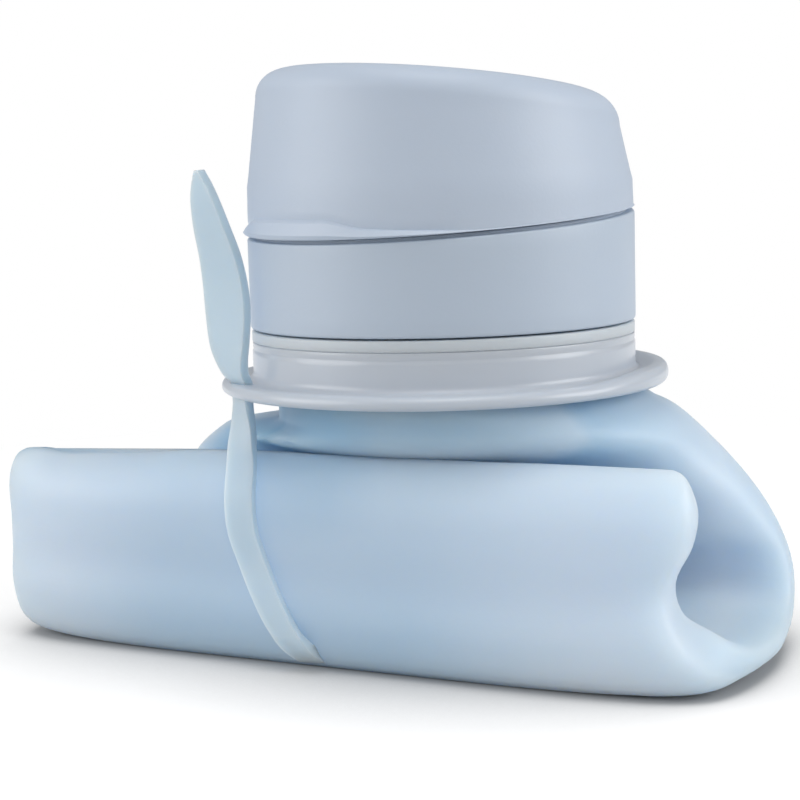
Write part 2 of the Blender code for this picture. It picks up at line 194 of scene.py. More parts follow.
# base and deep are the two ends of a piece's tint, amount and scale say how far and how fast it
# changes, and soft is the share of light that passes inside, as deep as softDepth, in m. The glossy
# collar's roughness stays at 0.28 or more: a lower one leaves patches when the picture is denoised
finishes = {
    "hoodPlastic": {"base": (194, 206, 222), "deep": (180, 194, 213), "amount": 0.35, "scale": 16,
                    "grain": 1500, "rough": (0.42, 0.5), "bump": 0.05, "soft": 0.15, "coat": 0.0},
    "bandPlastic": {"base": (191, 204, 219), "deep": (177, 191, 209), "amount": 0.35, "scale": 16,
                    "grain": 1500, "rough": (0.42, 0.5), "bump": 0.05, "soft": 0.15, "coat": 0.0},
    "collarPlastic": {"base": (196, 203, 212), "deep": (182, 191, 203), "amount": 0.4, "scale": 22,
                      "grain": 400, "rough": (0.28, 0.32), "bump": 0.01, "soft": 0.25, "coat": 0.2},
    "innerPlastic": {"base": (214, 221, 230), "deep": (196, 206, 220), "amount": 0.3, "scale": 30,
                     "grain": 900, "rough": (0.28, 0.36), "bump": 0.03, "soft": 0.0, "coat": 0.0},
    # the body's tint also follows a vertex attribute holding its tone and its painted shade
    "bodySilicone": {"base": (206, 218, 230), "deep": (110, 162, 198), "amount": 0.15, "scale": 24,
                     "grain": 1100, "rough": (0.42, 0.54), "bump": 0.04, "soft": 0.85, "coat": 0.0,
                     "softDepth": 0.012, "shaded": "depth"},
    "strapSilicone": {"base": (202, 217, 229), "deep": (180, 203, 218), "amount": 0.5, "scale": 30,
                      "grain": 1100, "rough": (0.4, 0.5), "bump": 0.04, "soft": 0.8, "coat": 0.0},
    "sealSilicone": {"base": (208, 218, 227), "deep": (194, 206, 218), "amount": 0.4, "scale": 40,
                     "grain": 1100, "rough": (0.4, 0.5), "bump": 0.04, "soft": 0.5, "coat": 0.0},
}
softDepth = 0.004
softTint = (0.8, 1.0, 1.2)
bumpDepth = 0.0004
coatRough = 0.08
pinSteel = {"base": (205, 207, 210), "deep": (160, 163, 168), "amount": 0.5, "scale": 200,
            "grain": 2500, "rough": (0.22, 0.38)}


# a material with the skin and the tint placed in it, and its roughness and colour taken from them
def newFinish(name, look):
    mat = bpy.data.materials.new(name)
    mat.use_nodes = True
    nodes, links = mat.node_tree.nodes, mat.node_tree.links
    shader = nodes["Principled BSDF"]
    skin = nodes.new("ShaderNodeGroup")
    skin.node_tree = skinGroup
    skin.inputs["Scale"].default_value = look["grain"]
    skin.inputs["Rough Low"].default_value = look["rough"][0]
    skin.inputs["Rough High"].default_value = look["rough"][1]
    tint = nodes.new("ShaderNodeGroup")
    tint.node_tree = tintGroup
    tint.inputs["Base"].default_value = srgb(*look["base"])
    tint.inputs["Deep"].default_value = srgb(*look["deep"])
    tint.inputs["Scale"].default_value = look["scale"]
    tint.inputs["Amount"].default_value = look["amount"]
    links.new(skin.outputs["Roughness"], shader.inputs["Roughness"])
    links.new(tint.outputs["Color"], shader.inputs["Base Color"])
    return mat, skin, tint


def makeFinish(name):
    look = finishes[name]
    mat, skin, tint = newFinish(name, look)
    nodes, links = mat.node_tree.nodes, mat.node_tree.links
    shader = nodes["Principled BSDF"]
    bump = nodes.new("ShaderNodeBump")
    bump.inputs["Strength"].default_value = look["bump"]
    bump.inputs["Distance"].default_value = bumpDepth
    links.new(skin.outputs["Height"], bump.inputs["Height"])
    links.new(bump.outputs["Normal"], shader.inputs["Normal"])
    # the body's tone and painted shade come from its vertex attribute
    if look.get("shaded"):
        depth = nodes.new("ShaderNodeAttribute")
        depth.attribute_name = look["shaded"]
        links.new(depth.outputs["Fac"], tint.inputs["Depth"])
    if look["soft"]:
        shader.inputs["Subsurface Weight"].default_value = look["soft"]
        shader.inputs["Subsurface Radius"].default_value = softTint
        shader.inputs["Subsurface Scale"].default_value = look.get("softDepth", softDepth)
    shader.inputs["Coat Weight"].default_value = look["coat"]
    shader.inputs["Coat Roughness"].default_value = coatRough
    return mat


def makeSteel():
    mat = newFinish("pinSteel", pinSteel)[0]
    mat.node_tree.nodes["Principled BSDF"].inputs["Metallic"].default_value = 1
    return mat


looks = {name: makeFinish(name) for name in finishes}
looks["pinSteel"] = makeSteel()
print("materials made")


# modelling helpers; lengths are in mm
afterFlat = 80  # where a corner's arc starts, in degrees, when a flat ends just before it


def clearSelection():
    if bpy.context.mode != "OBJECT":
        bpy.ops.object.mode_set(mode="OBJECT")
    bpy.ops.object.select_all(action="DESELECT")


def selectOnly(piece):
    clearSelection()
    piece.select_set(True)
    bpy.context.view_layer.objects.active = piece


# outline points on an arc, with its angles in degrees
def cornerPoints(centre, radius, start, end, count):
    points = []
    for i in range(count + 1):
        angle = math.radians(start + (end - start) * i / count)
        points.append((centre[0] + radius * math.cos(angle), centre[1] + radius * math.sin(angle)))
    return points


# rounded outer corners of an outline, at its top and its foot; bend is the arc's radius and steps
def topCorner(radius, height, bend, start=90):
    return cornerPoints((radius - bend[0], height - bend[0]), bend[0], start, 0, bend[1])


def footCorner(radius, height, bend):
    return cornerPoints((radius - bend[0], height + bend[0]), bend[0], 0, -90, bend[1])


# outline points at small steps out and up from one place
def stepsFrom(radius, height, steps):
    return [(radius + out, height + up) for out, up in steps]


# one vertex is drawn out along the outline, closed, and spun round the lid's axis
def spinOutline(name, outline):
    clearSelection()
    bpy.ops.mesh.primitive_plane_add(size=mm, location=(0, 0, 0))
    piece = bpy.context.object
    piece.name = name
    bpy.ops.object.mode_set(mode="EDIT")
    bpy.ops.mesh.select_all(action="SELECT")
    bpy.ops.mesh.merge(type="CENTER")
    last = (0.0, 0.0)
    for i, (radius, height) in enumerate(outline + outline[:1]):
        step = ((radius - last[0]) * mm, 0, (height - last[1]) * mm)
        if i == 0:
            bpy.ops.transform.translate(value=step)
        else:
            bpy.ops.mesh.extrude_region_move(TRANSFORM_OT_translate={"value": step})
        last = (radius, height)
    bpy.ops.mesh.select_all(action="SELECT")
    bpy.ops.mesh.remove_doubles(threshold=mergeReach)
    bpy.ops.mesh.spin(steps=lid["turns"], angle=2 * math.pi, center=(0, 0, 0), axis=(0, 0, 1))
    bpy.ops.mesh.select_all(action="SELECT")
    bpy.ops.mesh.remove_doubles(threshold=mergeReach)
    bpy.ops.mesh.normals_make_consistent(inside=False)
    bpy.ops.object.mode_set(mode="OBJECT")
    return piece


def finishPiece(piece, body, slotName, look, *nodes, angle=38):
    selectOnly(piece)
    bpy.ops.object.shade_smooth_by_angle(angle=math.radians(angle))
    piece.data.materials.clear()
    piece.data.materials.append(looks[look])
    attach(piece, body)
    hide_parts(*nodes)
    print(piece.name, len(piece.data.polygons), "faces")


def applyAll(piece):
    selectOnly(piece)
    for modifier in list(piece.modifiers):
        bpy.ops.object.modifier_apply(modifier=modifier.name)


def roundEdges(piece, width, segments):
    bevel = piece.modifiers.new("edge", "BEVEL")
    bevel.width = width * mm
    bevel.segments = segments
    return bevel


def joinWith(piece, tool, operation):
    change = piece.modifiers.new("join", "BOOLEAN")
    change.operation = operation
    change.object = tool
    applyAll(piece)
    bpy.data.objects.remove(tool)


# how far a value has come from low to high, between 0 and 1, straight or eased at both ends
def shareOf(value, low, high):
    return min(1, max(0, (value - low) / (high - low)))


def easeOf(value, low, high):
    share = shareOf(value, low, high)
    return share * share * (3 - 2 * share)


# leans level heights between low and high, as the lid's seam and crown lean
def slantPiece(piece, low, high, lowSlope, highSlope, highAngle=lid["hingeAngle"]):
    towardsFall = flatDirection(highAngle)
    for vert in piece.data.vertices:
        flat = Vector((vert.co.x, vert.co.y, 0))
        share = shareOf(vert.co.z / mm, low, high)
        lowLean = lowSlope * flat.dot(towardsHinge)
        highLean = highSlope * flat.dot(towardsFall)
        vert.co.z += lowLean * (1 - share) + highLean * share


# hinge knuckles: a barrel with rounded ends and a web into the wall
knuckle = {
    "radius": 1.75,
    "sides": 32,
    "endRound": 0.25,
    "endSegments": 2,
    "webDepth": 1.1,
    "webHeight": 3.6,
    "webShift": 2.6,
    "webInset": 0.7,
    "boreRadius": 0.86,
    "boreSides": 24,
    "boreLength": 30,
    "hoodLength": 9.4,
    "bandLength": 5.0,
    "bandShift": 7.6,
}


# a cylinder along the hinge, shifted along its axis
def addHingeRod(shift, radius, length, sides):
    turn = Vector((0, 0, 1)).rotation_difference(hingeAxis).to_euler()
    clearSelection()
    bpy.ops.mesh.primitive_cylinder_add(vertices=sides, radius=radius * mm, depth=length * mm,
                                        location=(hingeCentre + hingeAxis * shift) * mm, rotation=turn)
    return bpy.context.object


def addKnuckle(piece, shift, length, up):
    barrel = addHingeRod(shift, knuckle["radius"], length, knuckle["sides"])
    roundEdges(barrel, knuckle["endRound"], knuckle["endSegments"])
    applyAll(barrel)
    reach = lid["hingeOut"] + knuckle["webDepth"]
    centre = hingeCentre + hingeAxis * shift
    middle = centre - towardsHinge * (reach / 2) + Vector((0, 0, up * knuckle["webShift"]))
    clearSelection()
    bpy.ops.mesh.primitive_cube_add(size=1, location=middle * mm, rotation=(0, 0, lid["hingeAngle"]))
    web = bpy.context.object
    web.scale = (reach * mm, (length - knuckle["webInset"]) * mm, knuckle["webHeight"] * mm)
    for tool in (barrel, web):
        selectOnly(tool)
        bpy.ops.object.transform_apply(location=True, rotation=True, scale=True)
        joinWith(piece, tool, "UNION")


def drillPin(piece):
    drill = addHingeRod(0, knuckle["boreRadius"], knuckle["boreLength"], knuckle["boreSides"])
    bpy.ops.object.transform_apply(location=True, rotation=True, scale=True)
    joinWith(piece, drill, "DIFFERENCE")


# flip hood: the tall matte cap, with the thumb lip opposite its hinge. Lists of pairs are steps out
# and up: dome from the crown's height, creaseRows from the wall and the lip's crease, edgeRows from
# the wall and the lower edge
hood = {
    "edgeRound": (5.0, 14),
    "draft": 2.3,
    "sideInset": 0.35,
    "sideSteps": 7,
    "dome": [(0.0, 0.6), (7.0, 0.57), (14.0, 0.45), (20.0, 0.22)],
    "zoneInset": 0.3,
    "creaseRows": [(-0.24, 2.0), (-0.2, 1.0), (-0.18, 0.4), (-0.17, 0.12), (-0.16, 0.0), (-0.16, -0.12),
                   (-0.14, -0.4)],
    "edgeRows": [(-0.1, 1.6), (-0.06, 1.2), (0.0, 0.9), (0.0, 0.6), (-0.26, 0.22), (-0.34, 0.1),
                 (-0.5, 0.0)],
    "innerRows": [(0.2, 0.0), (0.0, 0.3), (0.0, 5.0)],
    "ceilingArc": (30, 90, 4),
    "ceilingRadius": 14.0,
    "ceilingDrop": 0.1,
}

# thumb lip: angles from its middle are in degrees, heights are above the hood's lower edge
lip = {
    "angle": math.radians(240),
    "top": 2.4,
    "zone": 6.0,
    "depth": 0.6,
    "reach": 62,
    "fade": 14,
    "crestFall": 0.5,
    "crestFallFrom": (16, 31),
    "crestTail": 0.4,
    "crestTailFrom": (29, 60),
    "swell": 0.9,
    "swellLeast": 0.3,
    "flareLeast": 0.35,
    "flareFrom": 0.6,
    "flareEdge": 0.3,
    "groove": 0.18,
    "grooveFrom": (0.1, 0.45),
}


def makeHood():
    low = lid["seamHeight"] + lid["seamRaise"] + lid["seamGap"] / 2
    crown, radius, wall, bend = lid["crownHeight"], lid["radius"], lid["wall"], hood["edgeRound"][0]
    top = radius - hood["draft"]
    shoulder = crown - bend
    crease, zone = low + lip["top"], low + lip["zone"]
    outline = stepsFrom(0.0, crown, hood["dome"])
    outline += topCorner(top, crown, hood["edgeRound"])
    foot = radius - hood["sideInset"]
    for i in range(1, hood["sideSteps"]):
        share = i / hood["sideSteps"]
        outline.append((top + (foot - top) * share, shoulder + (zone - shoulder) * share))
    outline += [(radius - hood["zoneInset"], zone)]
    outline += stepsFrom(radius, crease, hood["creaseRows"])
    outline += stepsFrom(radius, low, hood["edgeRows"])
    outline += stepsFrom(radius - wall, low, hood["innerRows"])
    outline += [(top - wall, shoulder)]
    outline += cornerPoints((top - bend, shoulder), bend - wall, *hood["ceilingArc"])
    outline += [(hood["ceilingRadius"], crown - wall - hood["ceilingDrop"]), (0.0, crown - wall)]
    piece = spinOutline("flipHood", outline)
    swellLip(piece, low)
    slantPiece(piece, low, shoulder, lid["seamSlope"], lid["crownSlope"], lid["crownAngle"])
    addKnuckle(piece, 0, knuckle["hoodLength"], 1)
    drillPin(piece)
    finishPiece(piece, "flip_lid", "cap_plastic", "hoodPlastic", "flip_cap", angle=30)


# the lip is a crescent that flares out under a fine crease, full in front of the thumb and
# falling away to both sides
def swellLip(piece, low):
    middle = flatDirection(lip["angle"])
    top, zone = lip["top"], lip["zone"]
    for vert in piece.data.vertices:
        flat = Vector((vert.co.x, vert.co.y, 0))
        height = vert.co.z / mm - low
        if flat.length / mm < lid["radius"] - lip["depth"] or height > zone:
            continue
        away = math.degrees(flat.angle(middle))
        fade = 1 - easeOf(away, lip["reach"] - lip["fade"], lip["reach"])
        crest = top * (1 - lip["crestFall"] * easeOf(away, *lip["crestFallFrom"])
                       - lip["crestTail"] * shareOf(away, *lip["crestTailFrom"]))
        flare = lip["flareLeast"] + (1 - lip["flareLeast"]) * (1 - shareOf(height, lip["flareFrom"], top))
        flare *= 1 - easeOf(height, top - lip["flareEdge"], top)
        groove = lip["groove"] * (1 - shareOf(abs(height - top), *lip["grooveFrom"]))
        bulge = math.cos(math.radians(min(90, away * 90 / lip["reach"])))
        swell = lip["swell"] * (lip["swellLeast"] + (1 - lip["swellLeast"]) * bulge)
        out = (swell * flare - groove) * fade
        vert.co += flat.normalized() * out * mm
        if height <= top:
            vert.co.z += (crest / top - 1) * height * mm
        else:
            vert.co.z += (crest - top) * (zone - height) / (zone - top) * mm


# screw band: the plain ring under the hood, with a low rim behind the seam, its deck and thread skirt
band = {
    "deckLow": 62.0,
    "deckTop": 64.0,
    "deckBore": 9.5,
    "deckBend": 0.6,
    "chamfer": 0.2,
    "rimDrop": 0.2,
    "rimStep": 1.4,
    "rimChamfer": 0.1,
    "rimRound": (0.45, 4),
    "footRise": 0.65,
    "footRound": (0.5, 4),
    "sideRows": (8, 3),
    "sideTop": 3,
    "skirtGap": 0.4,
    "skirtChamfer": 0.4,
    "leanFrom": 1.0,
}


def makeBand():
    radius, bore, chamfer, deckTop = lid["radius"], band["deckBore"], band["chamfer"], band["deckTop"]
    inner = radius - lid["wall"]
    skirt = insertRadius + band["skirtGap"]
    rim = lid["seamHeight"] + lid["seamRaise"] - lid["seamGap"] / 2
    inRim = rim + lid["seamGap"] - band["rimDrop"]
    inStep = radius - band["rimStep"]
    low = bandBottom + band["footRise"]
    outline = [(bore, deckTop - chamfer), (bore + chamfer, deckTop)]
    outline += [(inner - band["deckBend"], deckTop), (inner, deckTop + band["deckBend"])]
    outline += [(inner, inRim - chamfer), (inner + chamfer, inRim)]
    outline += [(inStep - band["rimChamfer"], inRim), (inStep, inRim - band["rimChamfer"]), (inStep, rim)]
    outline += topCorner(radius, rim, band["rimRound"])
    outline += [(radius, rim - band["sideTop"])] + [(radius, low + up) for up in band["sideRows"]]
    outline += footCorner(radius, low, band["footRound"])
    outline += [(skirt + band["skirtChamfer"], low), (skirt, low + band["skirtChamfer"])]
    outline += [(skirt, band["deckLow"]), (bore, band["deckLow"])]
    piece = spinOutline("screwBand", outline)
    slantPiece(piece, deckTop + band["leanFrom"], rim, 0, lid["seamSlope"])
    for side in (-1, 1):
        addKnuckle(piece, side * knuckle["bandShift"], knuckle["bandLength"], -1)
    drillPin(piece)
    finishPiece(piece, "screw_lid", "cap_plastic", "bandPlastic", "screw_cap", angle=30)


# collar: a glossy ring with a shallow groove and a wide rolled flange, slotted for the strap. Its
# flange is thicker on the right side, behind, where a raised ear runs between two azimuths in degrees
collar = {
    "insertGap": 0.3,
    "wallInset": 0.1,
    "topRise": 0.4,
    "topInset": 0.1,
    "topRound": (0.25, 3),
    "topFlat": 0.3,
    "wallRows": [(-0.1, -0.9), (-0.16, -1.1), (-0.16, -1.35), (-0.02, -1.6), (0.0, -2.2)],
    "wallFoot": 1.3,
    "rootRound": 1.0,
    "rootArc": (180, 270, 5),
    "bead": [(-2.6, 0.02), (-2.2, 0.14), (-1.7, 0.05)],
    "rollTop": (1.1, 6),
    "rollFoot": (0.95, 6),
    "flangeThick": 2.9,
    "flangeTrim": 0.8,
    "earRise": 1.1,
    "earFrom": (-35, -5),
    "earTo": (50, 80),
    "earInner": (0.5, 1.6),
    "earTop": 0.5,
    "slotAngles": (math.radians(221), math.radians(139)),
    "slotTurns": (math.radians(12), 0.0),
    "slotRadius": 35.9,
    "slotSize": (2.4, 5.8, 9),
    "slotMiddle": 1.5,
    "slotRound": 0.8,
    "slotSegments": 3,
}


def makeCollar():
    inner = insertRadius + collar["insertGap"]
    low, top = collarBottom + collar["flangeTrim"], collarBottom + collar["flangeThick"]
    high = collarTop + collar["topRise"]
    wall = lid["radius"] - collar["wallInset"]
    root = collar["rootRound"]
    outline = [(inner, high), (wall - collar["topFlat"], high)]
    outline += topCorner(wall - collar["topInset"], high, collar["topRound"], afterFlat)
    outline += stepsFrom(wall, high, collar["wallRows"])
    outline += [(wall, top + collar["wallFoot"])]
    outline += cornerPoints((wall + root, top + root), root, *collar["rootArc"])
    outline += stepsFrom(flangeRadius, top, collar["bead"])
    outline += topCorner(flangeRadius, top, collar["rollTop"], afterFlat)
    outline += footCorner(flangeRadius, low, collar["rollFoot"])
    outline += [(inner, low)]
    piece = spinOutline("collarRing", outline)
    for angle, twist in zip(collar["slotAngles"], collar["slotTurns"]):
        cutSlot(piece, angle, twist, low + collar["slotMiddle"])
    raiseEar(piece, low, top)
    finishPiece(piece, "bottle", "collar_plastic", "collarPlastic", "collar", angle=30)


def onFlange(angle, height, radius=collar["slotRadius"]):
    return Vector((radius * math.cos(angle), radius * math.sin(angle), height))


def cutSlot(piece, angle, twist, height):
    clearSelection()
    bpy.ops.mesh.primitive_cube_add(size=1, location=onFlange(angle, height) * mm,
                                    rotation=(0, 0, angle + twist))
    cutter = bpy.context.object
    cutter.scale = [side * mm for side in collar["slotSize"]]
    bpy.ops.object.transform_apply(location=True, rotation=True, scale=True)
    roundEdges(cutter, collar["slotRound"], collar["slotSegments"])
    applyAll(cutter)
    joinWith(piece, cutter, "DIFFERENCE")


def raiseEar(piece, low, top):
    for vert in piece.data.vertices:
        out = math.hypot(vert.co.x, vert.co.y) / mm - lid["radius"]
        azimuth = math.degrees(math.atan2(vert.co.y, vert.co.x))
        height = vert.co.z / mm
        if out > collar["earInner"][0] and height < top + collar["earTop"]:
            side = easeOf(azimuth, *collar["earFrom"]) * (1 - easeOf(azimuth, *collar["earTo"]))
            inward = shareOf(out, *collar["earInner"])
            vert.co.z += collar["earRise"] * side * inward * shareOf(height, low, top) * mm


# silicone ring between the collar and the band, with a soft groove where it meets the collar
lipSeal = {
    "footRise": 0.42,
    "topRise": 0.65,
    "inset": 0.15,
    "topFlat": 0.4,
    "topRound": (0.35, 3),
    "footRound": (0.15, 3),
}


def makeLipSeal():
    inner = insertRadius + collar["insertGap"]
    low, high = collarTop + lipSeal["footRise"], sealTop + lipSeal["topRise"]
    out = lid["radius"] - lipSeal["inset"]
    outline = [(inner, high), (out - lipSeal["topFlat"], high)]
    outline += topCorner(out, high, lipSeal["topRound"], afterFlat)
    outline += footCorner(out, low, lipSeal["footRound"])
    outline += [(inner, low)]
    finishPiece(spinOutline("neckLip", outline), "bottle", "seal_silicone", "sealSilicone", "neck_lip_seal")


# folded body. Each station is middle y and z, lean of the section in degrees, thickness, left and
# right reach, squareness, how much its left end is raised, and its turn about the vertical. The other
# values say where the neck is narrowed and where the panel's free corner is moved, in x, y and z
bodyShape = {
    "ring": 96,
    "steps": 5,
    "startRadius": 31.2,
    "neckRadius": 28.8,
    "notchHeight": (34.5, 38.0),
    "notchSide": (4.0, 20.0),
    "notchFront": -32,
    "cornerLeft": -38,
    "cornerFront": -14,
    "cornerHeight": (24.0, 32.0),
    "cornerRise": 1.0,
    "cornerRiseFrom": (63.0, 70.0),
    "cornerRiseTo": (72.0, 78.0),
    "cornerSag": 0.85,
    "cornerSagFrom": (38.0, 50.0),
    "stations": [
        (0.0, 42.9, 0, 62.4, -31.2, 33.0, 2.0, 0.0, 0.0),
        (0.2, 40.2, 0, 61.4, -31.8, 36.5, 2.1, 0.0, 0.0),
        (0.8, 37.4, 4.0, 57.5, -36.3, 40.6, 2.2, 0.4, 0.0),
        (4.6, 32.6, 8.0, 40.0, -42.6, 45.5, 2.3, 3.4, 0.0),
        (7.0, 26.4, 8, 28.5, -51.6, 50.9, 2.6, 3.6, 0.0),
        (8.4, 19.4, 5, 23.0, -58.2, 55.4, 2.8, 1.6, 0.0),
        (8.6, 12.6, -16, 17.0, -63.0, 58.1, 2.9, 0.0, 0.0),
        (5.0, 6.2, -50, 12.0, -66.6, 58.9, 3.0, 0.0, 0.0),
        (-2.6, 4.0, -78, 8.8, -69.3, 59.0, 3.2, 0.0, -0.01),
        (-10.5, 3.7, -90, 8.0, -71.1, 58.8, 3.4, 0.0, -0.02),
        (-19.6, 4.0, -104, 9.2, -72.3, 56.7, 3.6, 0.0, -0.035),
        (-25.3, 5.6, -132, 15.2, -73.0, 53.0, 4.4, 0.0, -0.05),
        (-26.6, 10.4, -160, 15.8, -73.8, 47.6, 4.4, 0.0, -0.055),
        (-25.3, 16.2, -174, 15.8, -74.3, 45.8, 4.4, -0.3, -0.055),
        (-24.7, 22.0, -180, 16.0, -74.7, 48.3, 4.2, -0.6, -0.055),
        (-24.3, 27.0, -183, 15.0, -75.4, 49.2, 4.0, -0.9, -0.055),
        (-23.9, 30.8, -186, 11.6, -75.6, 48.4, 3.6, -1.2, -0.055),
        (-23.5, 33.0, -187, 7.0, -75.1, 47.2, 3.2, -1.4, -0.055),
        (-23.4, 33.8, -187, 3.0, -73.4, 45.6, 3.0, -1.5, -0.055),
    ],
}


# a value on the smooth curve from b to c, with a and d on either side of them
def betweenValues(a, b, c, d, t):
    return 0.5 * (2 * b + (c - a) * t + (2 * a - 5 * b + 4 * c - d) * t * t
                  + (3 * b - a - 3 * c + d) * t * t * t)


def refinedRows(rows, steps):
    made = []
    ends = [rows[0]] + list(rows) + [rows[-1]]
    for i in range(len(rows) - 1):
        for step in range(steps):
            made.append([betweenValues(*values, step / steps) for values in zip(*ends[i:i + 4])])
    return made + [list(rows[-1])]


# points round a squared oval, spaced half by angle and half by length
def ovalPoints(halfWidth, halfThick, square, count):
    fine = 480
    outline = []
    for i in range(fine + 1):
        angle = 2 * math.pi * i / fine
        c, s = math.cos(angle), math.sin(angle)
        outline.append((math.copysign(abs(c) ** (2 / square), c) * halfWidth,
                        math.copysign(abs(s) ** (2 / square), s) * halfThick))
    runs = [0.0]
    for a, b in zip(outline, outline[1:]):
        runs.append(runs[-1] + math.dist(a, b))
    shares = [run / runs[-1] / 2 + i / fine / 2 for i, run in enumerate(runs)]
    points, at = [], 0
    for k in range(count):
        while shares[at + 1] < k / count:
            at += 1
        t = (k / count - shares[at]) / (shares[at + 1] - shares[at])
        points.append([a + (b - a) * t for a, b in zip(outline[at], outline[at + 1])])
    return points


def sectionPoints(station, count):
    y, z, lean, thick, left, right, square, lift, skew = station
    up = Vector((0, math.cos(math.radians(lean)), math.sin(math.radians(lean))))
    half = (right - left) / 2
    points = []
    for x, t in ovalPoints(half, thick / 2, square, count):
        point = Vector(((left + right) / 2 + x, y, z)) + up * t
        point.z += lift * max(0, -x / half) ** 2
        point.y += skew * point.x
        points.append(point)
    return points


def placeRing(ring, station):
    for vert, point in zip(ring, sectionPoints(station, len(ring))):
        vert.co = point * mm


# new vertices in the order of the ring that they were drawn from
def orderedCopies(ring, geometry):
    fresh = [v for v in geometry if isinstance(v, bmesh.types.BMVert)]
    byPlace = {tuple(round(c, 7) for c in v.co): v for v in fresh}
    return [byPlace[tuple(round(c, 7) for c in v.co)] for v in ring]


# a ring is added at the neck and drawn out, one ring at a time, to each station
def makeBody():
    rows = refinedRows(bodyShape["stations"], bodyShape["steps"])
    clearSelection()
    bpy.ops.mesh.primitive_circle_add(vertices=bodyShape["ring"], radius=bodyShape["startRadius"] * mm,
                                      location=(0, 0, rows[0][1] * mm), fill_type="NGON")
    piece = bpy.context.object
    piece.name = "foldedBody"
    bpy.ops.object.transform_apply(location=True, rotation=True, scale=True)
    bpy.ops.object.mode_set(mode="EDIT")
    shape = bmesh.from_edit_mesh(piece.data)
    ring = list(shape.verts)
    placeRing(ring, rows[0])
    edges = list(shape.faces[:][0].edges)
    for row in rows[1:]:
        made = bmesh.ops.extrude_edge_only(shape, edges=edges)
        ring = orderedCopies(ring, made["geom"])
        placeRing(ring, row)
        members = set(ring)
        edges = [e for e in shape.edges if e.verts[0] in members and e.verts[1] in members]
    shape.faces.new(ring)
    bmesh.ops.recalc_face_normals(shape, faces=shape.faces)
    bmesh.update_edit_mesh(piece.data)
    bpy.ops.object.mode_set(mode="OBJECT")
    settleBody(piece)
    flattenFloor(piece)
    paintToneAndShade(piece)
    finishPiece(piece, "bottle", "body_silicone", "bodySilicone", "bottle_body", angle=60)
    return piece


# the neck is narrower than the shoulders, which leaves a notch beside it, and the panel's free
# corner stands up a little, with a sag beside it
def settleBody(piece):
    shape, neck = bodyShape, bodyShape["neckRadius"]
    for vert in piece.data.vertices:
        x, y, z = vert.co / mm
        radius = math.hypot(x, y)
        if z > shape["notchHeight"][0] and y > shape["notchFront"] and radius > neck:
            target = radius + (neck - radius) * easeOf(z, *shape["notchHeight"])
            scale = 1 + (target / radius - 1) * easeOf(-x, *shape["notchSide"])
            vert.co.x *= scale
            vert.co.y *= scale
        if y < shape["cornerFront"] and x < shape["cornerLeft"]:
            lobe = easeOf(-x, *shape["cornerRiseFrom"]) * (1 - easeOf(-x, *shape["cornerRiseTo"]))
            sag = easeOf(-x, *shape["cornerSagFrom"])
            rise = shape["cornerRise"] * lobe - shape["cornerSag"] * sag
            vert.co.z += rise * easeOf(z, *shape["cornerHeight"]) * mm


def flattenFloor(piece):
    for vert in piece.data.vertices:
        if vert.co.z < 0.0:
            vert.co.z = 0.0


# the body's tint: painted shade under the flange on the neck, in the crease under it, inside the fold, less
# of it in the loop's hollow, and beside the strap; a deeper blue over the panel, most along its middle and
# paler at its ends; and darker towards the floor at the panel's foot and at the right end. Spans say where,
# in mm along x, y or z, and the other values say how much, from 0 to 1
bodyTint = {
    "panel": {"y": (-24.0, -14.0), "ends": (-70.0, -36.0, -2.0, 40.0), "low": (2.0, 26.0),
              "least": 0.02, "middle": 0.2, "foot": 0.16},
    "neck": {"z": (31.0, 39.0), "x": (8.0, 44.0), "left": 0.5, "right": 0.34},
    "crease": {"y": (-23.0, -18.0, -6.0, 6.0), "z": (22.0, 30.0), "x": (20.0, 50.0), "most": 0.72},
    "fold": {"y": (-19.0, -14.0, 2.0, 12.0), "x": (30.0, 56.0), "most": 0.4},
    "loop": {"x": (36.0, 54.0), "y": (-7.0, 3.0), "most": 0.16},
    "foot": {"x": (44.0, 56.0), "z": (4.0, 14.0), "most": 0.2},
    "beside": {"x": (-30.0, -22.0, -10.0, 2.0), "z": (18.0, 30.0), "most": 0.2},
}


# 1 between the inner two of four limits, easing to 0 outside them
def plateauOf(value, start, full, fade, end):
    return easeOf(value, start, full) * (1 - easeOf(value, fade, end))


# the body's tone and its painted shade, from 0 to 1, kept on its vertices for its material
def paintToneAndShade(piece):
    depth = piece.data.attributes.new("depth", "FLOAT", "POINT")
    panel, neck, crease, fold, loop, foot, beside = bodyTint.values()
    for vert in piece.data.vertices:
        x, y, z = vert.co / mm
        onPanel = 1 - easeOf(y, *panel["y"])
        along = plateauOf(x, *panel["ends"])
        lower = panel["foot"] * along * (1 - shareOf(z, *panel["low"]))
        inCrease = plateauOf(y, *crease["y"]) * easeOf(z, *crease["z"])
        # the panel's own tone, darker towards its foot, then painted shade under the flange, in the crease,
        # inside the fold and in the loop's hollow, then darker towards the floor at the right end
        tints = [
            onPanel * (panel["least"] + panel["middle"] * along + lower),
            easeOf(z, *neck["z"]) * (neck["left"] - neck["right"] * easeOf(x, *neck["x"])),
            inCrease * (1 - easeOf(x, *crease["x"])) * crease["most"],
            plateauOf(y, *fold["y"]) * (1 - easeOf(abs(x), *fold["x"])) * fold["most"],
            easeOf(x, *loop["x"]) * easeOf(y, *loop["y"]) * loop["most"],
            easeOf(x, *foot["x"]) * (1 - easeOf(z, *foot["z"])) * foot["most"],
        ]
        # painted shadow of the strap on the panel beside it
        strapShadow = onPanel * plateauOf(x, *beside["x"]) * easeOf(z, *beside["z"]) * beside["most"]
        depth.data[vert.index].value = min(1.0, max(tints) + strapShadow)


